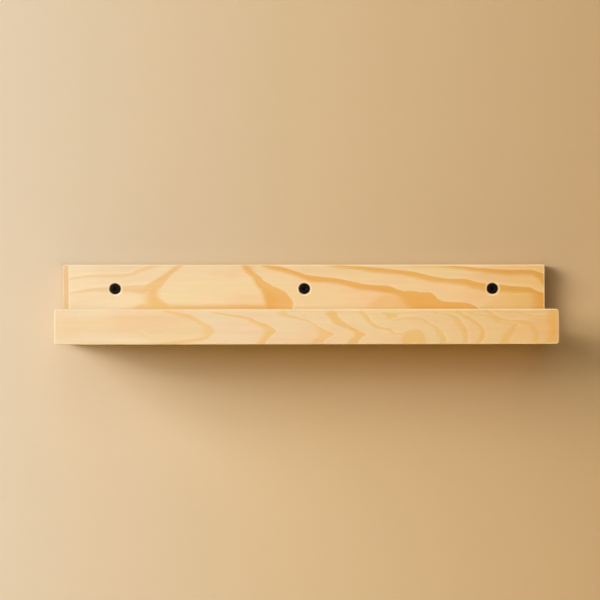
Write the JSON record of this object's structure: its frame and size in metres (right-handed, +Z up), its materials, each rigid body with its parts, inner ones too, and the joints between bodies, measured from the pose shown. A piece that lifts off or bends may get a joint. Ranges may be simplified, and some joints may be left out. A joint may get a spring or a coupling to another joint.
{
  "type": "wall plate rack",
  "caption": "Narrow pine wall rack for plates: tall back board, shelf board and low front rail, joined with dowels and screws and held on the wall by black screws.",
  "frame": {"origin": "middle of the back board's rear face, the face that lies on the wall", "axes": "+X along the rack to the right as seen from the front, +Y into the wall, +Z up; the front rail faces -Y"},
  "size_m": [0.45, 0.1355, 0.0724],
  "materials": {
    "pine": "clear matt lacquer on planed pine, broad orange latewood bands",
    "black_screw": "satin black coated steel",
    "plated_screw": "yellow zinc plate",
    "beech": "bare fluted beech"
  },
  "bodies": {
    "root": {"back_board": "pine", "shelf_board": "pine", "front_rail": "pine", "wall_screw_left": "black_screw", "wall_screw_middle": "black_screw", "wall_screw_right": "black_screw", "shelf_screw_left": "plated_screw", "shelf_screw_middle": "plated_screw", "shelf_screw_right": "plated_screw", "rail_dowel_1": "beech", "rail_dowel_2": "beech", "rail_dowel_3": "beech", "rail_dowel_4": "beech", "shelf_dowel_left": "beech", "shelf_dowel_right": "beech"}
  },
  "joints": []
}
